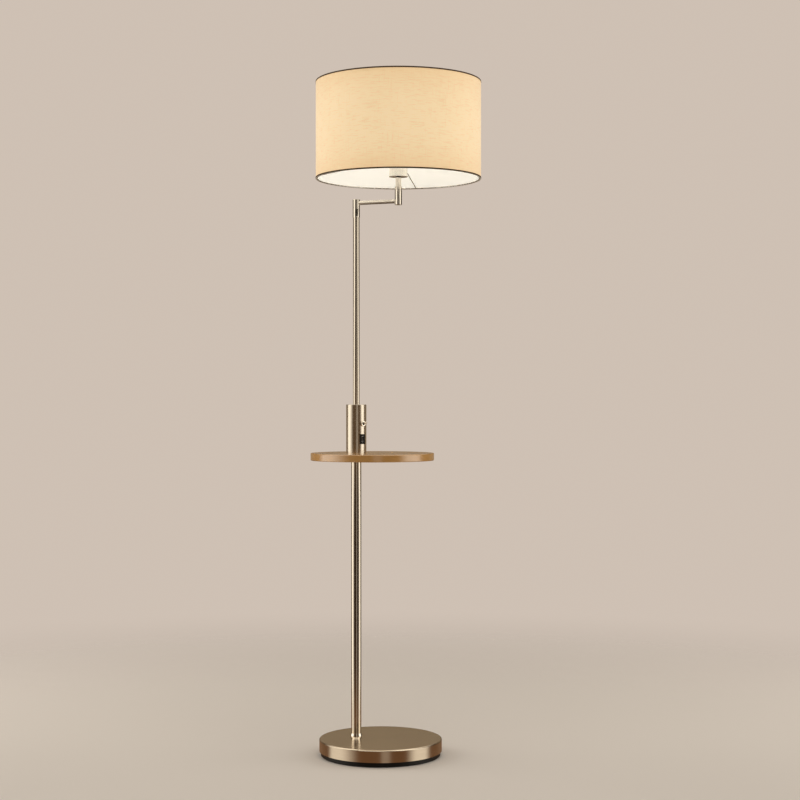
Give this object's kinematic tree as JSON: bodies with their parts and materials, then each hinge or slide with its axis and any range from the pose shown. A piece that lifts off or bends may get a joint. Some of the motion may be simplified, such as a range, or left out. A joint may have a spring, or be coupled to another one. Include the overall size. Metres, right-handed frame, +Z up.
{
  "type": "floor lamp with table",
  "caption": "Floor lamp on a weighted round base with a wooden tray table, switch and charging housing, swing arm and drum shade.",
  "frame": {"origin": "on the floor at the centre of the foam pad under the round base", "axes": "+Z up, +X from the pole towards the post and shade, +Y to the left of +X"},
  "size_m": [0.4225, 0.404, 1.6466],
  "materials": {
    "foam": "matt closed-cell foam",
    "black_plastic": "fine matt",
    "rubber": "matt",
    "iron": "as cast",
    "brushed_nickel": "brushed nickel, warm",
    "satin_nickel": "satin nickel, warm",
    "polished_nickel": "bright nickel",
    "zinc_steel": "zinc plated",
    "dark_steel": "blackened",
    "brass": "plain",
    "wood": "clear matt lacquer on light hardwood",
    "port_metal": "bright",
    "white_plastic": "semi-gloss",
    "board": "lacquered circuit board",
    "bulb_glass": "frosted",
    "wire": "plated wire",
    "liner": "matt white sheet",
    "linen": "slubbed beige linen",
    "hem": "folded linen tape"
  },
  "bodies": {
    "stand": {"base_pad": "foam", "base_plate": "black_plastic", "cord_gland": "rubber", "base_weight": "iron", "base_cover": "brushed_nickel", "base_nut": "zinc_steel", "base_washer": "zinc_steel", "base_stem": "brass", "foot_collar": "polished_nickel", "lower_pole": "satin_nickel", "pole_bushes": "zinc_steel", "table_top": "wood", "table_stem": "brass", "housing_floor": "zinc_steel", "table_nut": "zinc_steel", "housing_shell": "brushed_nickel", "switch_body": "black_plastic", "switch_nut": "polished_nickel", "port_bezel": "black_plastic", "port_shell": "port_metal", "port_tongue": "white_plastic", "charger_board": "board", "upper_stem": "brass", "upper_nut": "zinc_steel", "upper_washer": "zinc_steel", "upper_bush": "zinc_steel", "upper_pole": "satin_nickel", "pole_plug": "zinc_steel", "pole_sleeve": "satin_nickel", "pole_stop_screw": "dark_steel", "flex_stand": "rubber"},
    "arm": {"pole_hub": "satin_nickel", "arm_rod": "satin_nickel", "head_hub": "satin_nickel", "flex_arm": "rubber"},
    "head": {"head_sleeve": "satin_nickel", "head_stop_screw": "dark_steel", "head_plug": "zinc_steel", "post": "satin_nickel", "holder_stem": "brass", "cup_washer": "dark_steel", "socket_cup": "satin_nickel", "cup_nut": "zinc_steel", "lamp_holder": "white_plastic", "screw_shell": "brass", "centre_contact": "brass", "shade_ring": "white_plastic", "bulb_cap": "port_metal", "bulb_collar": "white_plastic", "bulb_globe": "bulb_glass", "shade_fitter": "wire", "shade_top_wire": "wire", "shade_liner": "liner", "shade_linen": "linen", "shade_hems": "hem", "flex_head": "rubber"},
    "lever": {"switch_lever": "polished_nickel"}
  },
  "joints": [
    {"name": "arm_swing", "type": "hinge", "parent": "stand", "child": "arm", "pos_m": [-0.065, 0, 1.3405], "axis": [0, 0, 1], "range_deg": [-155, 155]},
    {"name": "head_swing", "type": "hinge", "parent": "arm", "child": "head", "pos_m": [0.047, 0, 1.3701], "axis": [0, 0, 1], "range_deg": [-155, 155]},
    {"name": "switch_toggle", "type": "hinge", "parent": "stand", "child": "lever", "pos_m": [-0.04495, -0.01022, 0.812], "axis": [0.454, 0.891, 0], "range_deg": [0, 20]}
  ]
}
